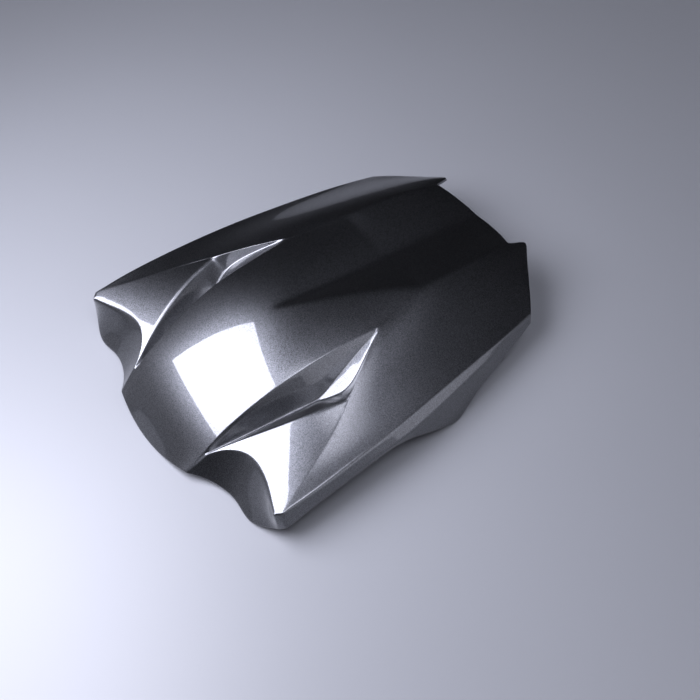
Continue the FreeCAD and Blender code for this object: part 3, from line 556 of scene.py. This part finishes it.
def fine_inner():
    M = np.zeros((RE+1, K5+1, 3)); S = np.zeros((RE-RF+1, NS+1, 3))
    for b in range(5):
        j0, j1, r0, r1 = int(BREAK[b]), int(BREAK[b+1]), int(FB[b]), int(FB[b+1])
        v = np.array([FROWS[r][1] if FROWS[r][0] == b else 1.0 for r in range(r0, r1+1)])*N_ROWS[b]
        v[0] = 0.0
        js = range(j0, j1+1)
        line = lambda f: natural(np.array([INSIDE[f(j)] for j in js]), v)
        g = np.array([[INSIDE[("L1", 1 if i > 0 else -1, j) if abs(i) == N_C else ("c", i, j)] for j in js] for i in range(-N_C, N_C+1)])
        M[r0:r1+1, :K1+1] = np.moveaxis(natural(natural(g, v, 1), N_C+F_C*N_C, 0), 0, 1)
        l1, l2, l2b, l3 = (line(f) for f in (lambda j: ("L1", 1, j), lambda j: ("L2", 1, j), lambda j: ("L2B", 1, j), lambda j: ("W", 1, 0, j)))
        M[r0:r1+1, K1:K2+1] = l1[:, None]+(l2-l1)[:, None]*F_I[None, :, None]
        M[r0:r1+1, K2:K2B+1] = l2[:, None]+(l2b-l2)[:, None]*F_F[None, :, None]
        M[r0:r1+1, K2B:K3+1] = l2b[:, None]+(l3-l2b)[:, None]*F_O[None, :, None]
        g = natural(np.array([[INSIDE["W", 1, i, j] for j in js] for i in range(NU+1)]), v, 1)
        A = natural(g[:N_H+1], F_W[F_W <= U_H]/U_H*N_H, 0)
        B = natural(g[N_H:], (F_W[F_W > U_H]-U_H)/(1-U_H)*N_W, 0)
        M[r0:r1+1, K3:] = np.moveaxis(np.concatenate([A, B]), 0, 1)
        if b >= 2:
            l5 = line(lambda j: ("W", 1, NU, j))
            l6 = line(lambda j: ("S6", 1, j) if j > JF else ("W", 1, NU, J6))
            l7 = line(lambda j: ("S7", 1, j) if j > JF else ("W", 1, NU, 0))
            S[r0-RF:r1-RF+1, :N6+1] = l5[:, None]+(l6-l5)[:, None]*np.linspace(0, 1, N6+1)[None, :, None]
            S[r0-RF:r1-RF+1, N6:] = l6[:, None]+(l7-l6)[:, None]*np.linspace(0, 1, NS-N6+1)[None, :, None]
    P = np.zeros((IDM.size+(RE-RF)*NS, 3))
    P[IDM] = M
    P[IDS[1:, 1:]] = S[1:, 1:]
    return P


INN = fine_inner()

# ---------------- one closed mesh: outer skin, inner skin, rounded rim, bosses ----------------
verts, faces, mats = [], [], []
PAINT, PLASTIC = 0, 1


def add_verts(p):
    k = len(verts)
    verts.extend(np.asarray(p, float).tolist())
    return k


def quads(grid):
    a = grid
    return np.stack([a[:-1, :-1], a[:-1, 1:], a[1:, 1:], a[1:, :-1]], -1).reshape(-1, 4)


RIM = 0.5
border = [(0, c) for c in range(K5+1)]
loop = [IDM[0, c] for c in range(K5+1)]+[IDS[r, NS] for r in range(1, RE-RF+1)]+[IDS[RE-RF, k] for k in range(NS-1, -1, -1)]+[IDM[RE, c] for c in range(K5-1, -1, -1)]
inward = [IDM[1, c] for c in range(K5+1)]+[IDS[r, NS-1] for r in range(1, RE-RF+1)]+[IDS[RE-RF-1, k] for k in range(NS-1, -1, -1)]+[IDM[RE-1, c] for c in range(K5-1, -1, -1)]
loop, inward = np.array(loop), np.array(inward)


def unit(v): return v/np.maximum(np.linalg.norm(v, axis=-1, keepdims=True), 1e-9)


O, I = OUT[loop].copy(), INN[loop].copy()
thick = np.linalg.norm(I-O, axis=1, keepdims=True)
e = unit(I-O)
r_ = np.minimum(RIM, 0.35*thick)
do, di = unit(OUT[inward]-O), unit(INN[inward]-I)
RIMS = [O+0.29*r_*do+0.29*r_*e, O+r_*e, O+0.5*thick*e, I-r_*e, I+0.29*r_*di-0.29*r_*e]
OUT[loop] = O+r_*do
INN[loop] = I+r_*di

QM = quads(IDM); QS = quads(IDS)
QM = QM[:, ::-1] if np.cross(OUT[QM[40, 1]]-OUT[QM[40, 0]], OUT[QM[40, 3]]-OUT[QM[40, 0]])[2] < 0 else QM
half = np.concatenate([quads(IDM), quads(IDS)])
mid = OUT[half].mean(1)
nrm = np.cross(OUT[half[:, 2]]-OUT[half[:, 0]], OUT[half[:, 3]]-OUT[half[:, 1]])
top = np.argmax(mid[:, 2])
if nrm[top, 2] < 0: half = half[:, ::-1]
n = len(OUT)
flip = vec(-1, 1, 1)
sew = np.arange(n)
base = {}
for name, P in (("out", OUT), ("in", INN)):
    a = add_verts(P)
    b = add_verts(P*flip)
    m = b+np.arange(n)
    m[IDM[:, 0]] = a+IDM[:, 0]          # the centreline is shared
    base[name] = (a+np.arange(n), m)
for name, turn, mat in (("out", 1, PAINT), ("in", -1, PLASTIC)):
    R, L = base[name]
    f = half[:, ::turn]
    for q in R[f].tolist(): faces.append(q); mats.append(mat)
    for q in L[f[:, ::-1]].tolist(): faces.append(q); mats.append(mat)
ring = lambda arr, other: np.r_[arr, other[::-1][1:-1]]
R, L = base["out"]; rings = [ring(R[loop], L[loop])]
for P in RIMS:
    a = add_verts(P); b = add_verts(P[1:-1]*flip)
    rings.append(np.r_[a+np.arange(len(P)), (b+np.arange(len(P)-2))[::-1]])
R, L = base["in"]; rings.append(ring(R[loop], L[loop]))
for k in range(len(rings)-1):
    a, b = rings[k], rings[k+1]
    a2, b2 = np.roll(a, -1), np.roll(b, -1)
    for q in np.stack([a, b, b2, a2], -1).tolist():
        faces.append(q); mats.append(PAINT if k < 4 else PLASTIC)

verts_np = np.array(verts)
shell_faces = len(faces)


# screw bosses: posts with a blind bore, standing down from the inner skin
from mathutils.bvhtree import BVHTree
inner_ids = [i for i in range(shell_faces) if mats[i] == PLASTIC]
tree = BVHTree.FromPolygons(verts, [faces[i] for i in inner_ids])


def skin_above(x, y):
    hit = tree.ray_cast(Vector((x, y, BOSS_Z-10)), Vector((0, 0, 1)))
    return hit[0].z


SEG = 48
for bx in (BOSS_X, -BOSS_X):
    for by in BOSS_Y:
        cx, cy = bx, by+SHIFT_Y
        ang = np.arange(SEG)*2*math.pi/SEG
        prof = []                                    # (radius, height, from the skin?)
        rb, ro = BORE_D/2, BOSS_D/2
        prof += [(0.35, BOSS_Z+BORE_DEPTH+0.1, 0), (rb-0.3, BOSS_Z+BORE_DEPTH, 0), (rb, BOSS_Z+BORE_DEPTH-0.3, 0), (rb, BOSS_Z+7, 0), (rb, BOSS_Z+0.7, 0),
                 (rb+0.25, BOSS_Z+0.25, 0), (rb+0.7, BOSS_Z, 0), (0.5*(rb+ro), BOSS_Z, 0), (ro-0.7, BOSS_Z, 0), (ro-0.2, BOSS_Z+0.2, 0), (ro, BOSS_Z+0.7, 0), (ro, BOSS_Z+8, 0)]
        prof += [(ro, -6.0, 1), (ro, -3.2, 1), (ro+0.12, -2.2, 1), (ro+0.45, -1.3, 1), (ro+1.0, -0.6, 1), (ro+1.9, -0.12, 1), (ro+2.3, 0.5, 1), (ro, 0.9, 1), (ro*0.5, 0.9, 1), (0.5, 0.9, 1)]
        rings_b = []
        for rad, h, rel in prof:
            pts = np.stack([cx+rad*np.cos(ang), cy+rad*np.sin(ang), np.full(SEG, float(h))], -1)
            if rel: pts[:, 2] = [skin_above(p[0], p[1])+h for p in pts]
            rings_b.append(add_verts(pts)+np.arange(SEG))
        for a, b in zip(rings_b[:-1], rings_b[1:]):
            for q in np.stack([a, np.roll(a, -1), np.roll(b, -1), b], -1).tolist(): faces.append(q[::-1]); mats.append(PLASTIC)
        for rg, z, back in ((rings_b[0], BOSS_Z+BORE_DEPTH+0.1, False), (rings_b[-1], None, True)):
            z = z if z is not None else skin_above(cx, cy)+0.9
            k = add_verts([(cx, cy, z)])
            for i in range(SEG):
                t = [int(rg[i]), int(rg[(i+1) % SEG]), k]
                faces.append(t if not back else t[::-1]); mats.append(PLASTIC)

mesh = bpy.data.meshes.new("cowl")
mesh.from_pydata((np.array(verts)/1000.0).tolist(), [], faces)
mesh.update()
# vertices that no face uses (the mirrored twin of the centreline) go
import bmesh
bm = bmesh.new(); bm.from_mesh(mesh)
tags = list(mats)
lay = bm.faces.layers.int.new("kind")
bm.faces.ensure_lookup_table()
for f, m in zip(bm.faces, tags): f[lay] = m; f.material_index = m; f.smooth = True
bmesh.ops.delete(bm, geom=[v for v in bm.verts if not v.link_faces], context="VERTS")
open_edges = [e for e in bm.edges if len(e.link_faces) != 2]
print("verts", len(bm.verts), "faces", len(bm.faces), "open edges", len(open_edges), "volume cm3", bm.calc_volume(signed=True)*1e6)
bm.faces.layers.int.remove(lay)
bm.to_mesh(mesh); bm.free()
cowl = bpy.data.objects.new("cowl", mesh)
bpy.context.scene.collection.objects.link(cowl)

# =====================================================================================
# Materials
# =====================================================================================
def new_material(name):
    m = bpy.data.materials.new(name); m.use_nodes = True
    nt = m.node_tree
    return m, nt, nt.nodes["Principled BSDF"]


def graphite_paint():
    m, nt, b = new_material("graphite_metallic")
    tc = nt.nodes.new("ShaderNodeTexCoord")
    # flake: small cells, each with its own tilt and brightness
    vor = nt.nodes.new("ShaderNodeTexVoronoi"); vor.feature = "F1"; vor.inputs["Scale"].default_value = 2600.0
    nt.links.new(tc.outputs["Object"], vor.inputs["Vector"])
    sep = nt.nodes.new("ShaderNodeSeparateColor"); nt.links.new(vor.outputs["Color"], sep.inputs["Color"])
    ramp_ = nt.nodes.new("ShaderNodeValToRGB"); ramp_.name = "flake"
    ramp_.color_ramp.elements[0].position = 0.0; ramp_.color_ramp.elements[0].color = (0.045, 0.046, 0.049, 1)
    ramp_.color_ramp.elements[1].position = 1.0; ramp_.color_ramp.elements[1].color = (0.130, 0.133, 0.141, 1)
    nt.links.new(sep.outputs["Red"], ramp_.inputs["Fac"])
    # slow cloudiness of the colour coat
    noi = nt.nodes.new("ShaderNodeTexNoise"); noi.inputs["Scale"].default_value = 14.0; noi.inputs["Detail"].default_value = 3.0
    nt.links.new(tc.outputs["Object"], noi.inputs["Vector"])
    mix = nt.nodes.new("ShaderNodeMix"); mix.data_type = "RGBA"; mix.blend_type = "MULTIPLY"
    mr = nt.nodes.new("ShaderNodeMapRange"); mr.inputs["To Min"].default_value = 0.93; mr.inputs["To Max"].default_value = 1.05
    nt.links.new(noi.outputs["Fac"], mr.inputs["Value"])
    mix.inputs["Factor"].default_value = 1.0
    nt.links.new(ramp_.outputs["Color"], mix.inputs["A"]); nt.links.new(mr.outputs["Result"], mix.inputs["B"])
    nt.links.new(mix.outputs["Result"], b.inputs["Base Color"])
    # flake tilt under the clear coat
    bump = nt.nodes.new("ShaderNodeBump"); bump.inputs["Strength"].default_value = 0.12; bump.inputs["Distance"].default_value = 0.0002
    nt.links.new(sep.outputs["Green"], bump.inputs["Height"])
    nt.links.new(bump.outputs["Normal"], b.inputs["Normal"])
    b.inputs["Metallic"].default_value = 1.0
    b.inputs["Roughness"].default_value = 0.34
    b.inputs["Coat Weight"].default_value = 1.0
    b.inputs["Coat Roughness"].default_value = 0.025
    b.inputs["Coat IOR"].default_value = 1.5
    return m


def bare_plastic():
    m, nt, b = new_material("bare_black_plastic")
    tc = nt.nodes.new("ShaderNodeTexCoord")
    noi = nt.nodes.new("ShaderNodeTexNoise"); noi.inputs["Scale"].default_value = 900.0; noi.inputs["Detail"].default_value = 2.0
    nt.links.new(tc.outputs["Object"], noi.inputs["Vector"])
    big = nt.nodes.new("ShaderNodeTexNoise"); big.inputs["Scale"].default_value = 22.0; big.inputs["Detail"].default_value = 4.0
    nt.links.new(tc.outputs["Object"], big.inputs["Vector"])
    rc = nt.nodes.new("ShaderNodeValToRGB")
    rc.color_ramp.elements[0].color = (0.018, 0.018, 0.019, 1); rc.color_ramp.elements[1].color = (0.040, 0.040, 0.042, 1)
    nt.links.new(big.outputs["Fac"], rc.inputs["Fac"]); nt.links.new(rc.outputs["Color"], b.inputs["Base Color"])
    rr = nt.nodes.new("ShaderNodeMapRange"); rr.inputs["To Min"].default_value = 0.48; rr.inputs["To Max"].default_value = 0.66
    nt.links.new(big.outputs["Fac"], rr.inputs["Value"]); nt.links.new(rr.outputs["Result"], b.inputs["Roughness"])
    bump = nt.nodes.new("ShaderNodeBump"); bump.inputs["Strength"].default_value = 0.25; bump.inputs["Distance"].default_value = 0.0003
    nt.links.new(noi.outputs["Fac"], bump.inputs["Height"]); nt.links.new(bump.outputs["Normal"], b.inputs["Normal"])
    return m


def pale_floor():
    m, nt, b = new_material("pale_floor")
    tc = nt.nodes.new("ShaderNodeTexCoord")
    noi = nt.nodes.new("ShaderNodeTexNoise"); noi.inputs["Scale"].default_value = 3.0; noi.inputs["Detail"].default_value = 2.0
    nt.links.new(tc.outputs["Object"], noi.inputs["Vector"])
    rc = nt.nodes.new("ShaderNodeValToRGB")
    rc.color_ramp.elements[0].color = (0.176, 0.180, 0.188, 1); rc.color_ramp.elements[1].color = (0.190, 0.194, 0.203, 1)
    nt.links.new(noi.outputs["Fac"], rc.inputs["Fac"]); nt.links.new(rc.outputs["Color"], b.inputs["Base Color"])
    b.inputs["Roughness"].default_value = 0.42
    return m


mesh.materials.append(graphite_paint())
mesh.materials.append(bare_plastic())
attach(cowl, "root"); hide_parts("cowl_shell")

# =====================================================================================
# Floor, light, camera
# =====================================================================================
fm = bpy.data.meshes.new("floor")
along, away = vec(0.592, 0.806, 0), vec(-0.806, 0.592, 0)        # the floor is a table top: its far edge lies behind the tail's left
fm.from_pydata([(a*along+b*away).tolist() for a, b in ((-1.6, -1.4), (1.2, -1.4), (1.2, 0.515), (-1.6, 0.515))], [], [(0, 1, 2, 3)])
floor = bpy.data.objects.new("floor", fm); bpy.context.scene.collection.objects.link(floor)
fm.materials.append(pale_floor())
floor.location.z = -0.0006

COOL = (0.94, 0.955, 1.11)                                    # daylight, slightly blue
world = bpy.data.worlds.new("studio"); bpy.context.scene.world = world
world.use_nodes = True
wt = world.node_tree
back = wt.nodes["Background"]
back.inputs["Color"].default_value = (*COOL, 1)
wdir = wt.nodes.new("ShaderNodeTexCoord")


def math_node(op, a, b):
    n = wt.nodes.new("ShaderNodeMath"); n.operation = op
    for k, x in enumerate((a, b)):
        if isinstance(x, float): n.inputs[k].default_value = x
        else: wt.links.new(x, n.inputs[k])
    return n.outputs[0]


def soft_patch(direction, inner, outer, strength):
    """round bright patch of the room: full inside the inner angle, nothing beyond the outer one (degrees)"""
    d = wt.nodes.new("ShaderNodeVectorMath"); d.operation = "DOT_PRODUCT"
    wt.links.new(wdir.outputs["Generated"], d.inputs[0]); d.inputs[1].default_value = Vector(direction).normalized()
    m = wt.nodes.new("ShaderNodeMapRange"); m.interpolation_type = "SMOOTHSTEP"
    m.inputs["From Min"].default_value = math.cos(math.radians(outer)); m.inputs["From Max"].default_value = math.cos(math.radians(inner))
    m.inputs["To Min"].default_value = 0.0; m.inputs["To Max"].default_value = strength
    wt.links.new(d.outputs["Value"], m.inputs["Value"])
    return m.outputs["Result"]


PATCHES = [((0.28, 0.02, 0.96), 2, 22, 7.5),          # ceiling, a little to the right
           ((0.88, 0.34, 0.20), 8, 40, 1.5),         # bright side of the room
           ((-0.62, -0.74, 0.25), 5, 40, 0.3)]        # glow below the soft box
total = 0.015
for p in PATCHES: total = math_node("ADD", soft_patch(*p), total)
wt.links.new(total, back.inputs["Strength"])


def area_light(name, centre, across, up, sx, sy, power, color=(1, 1, 1)):
    """rectangular light: centre, its width direction and its height direction; it shines along up x across"""
    l = bpy.data.lights.new(name, "AREA"); l.shape = "RECTANGLE"; l.size, l.size_y = sx, sy; l.energy = power; l.color = color
    o = bpy.data.objects.new(name, l); bpy.context.scene.collection.objects.link(o)
    x = Vector(across).normalized(); z = x.cross(Vector(up)).normalized(); y = z.cross(x)
    o.matrix_world = Matrix(((x[0], y[0], z[0], centre[0]), (x[1], y[1], z[1], centre[1]), (x[2], y[2], z[2], centre[2]), (0, 0, 0, 1)))
    return o


# soft box: towards BOX_N from the front of the cowl, turned so that its edges lie along BOX_U and BOX_V
BOX_N, BOX_U, BOX_V = vec(-0.468, -0.498, 0.730), vec(0.202, 0.744, 0.637), vec(-0.860, 0.445, -0.248)
BOX_A, BOX_B, BOX_D = (-0.336, 0.591), (-0.75, 0.33), 0.55
box_mid = vec(0, -0.10, 0.05)+BOX_D*(BOX_N+0.5*sum(BOX_A)*BOX_U+0.5*sum(BOX_B)*BOX_V)
area_light("softbox", box_mid.tolist(), BOX_U.tolist(), BOX_V.tolist(), BOX_D*(BOX_A[1]-BOX_A[0]), BOX_D*(BOX_B[1]-BOX_B[0]), 13.0, COOL)

cam = bpy.data.cameras.new("camera"); camo = bpy.data.objects.new("camera", cam)
bpy.context.scene.collection.objects.link(camo)
right, down, fwd = Vector((0.623061, 0.781768, 0.025167)), Vector((0.627101, -0.480046, -0.613434)), Vector((-0.467482, 0.397989, -0.789345))
m4 = Matrix((( right[0], -down[0], -fwd[0], 0.43190), (right[1], -down[1], -fwd[1], -0.34100), (right[2], -down[2], -fwd[2], 0.68282), (0, 0, 0, 1)))
camo.matrix_world = m4
cam.sensor_fit = "HORIZONTAL"; cam.sensor_width = 36.0; cam.lens = 1000.0/700.0*36.0
cam.clip_start = 0.01; cam.dof.use_dof = False
bpy.context.scene.camera = camo
bpy.context.scene.view_settings.view_transform = "Standard"
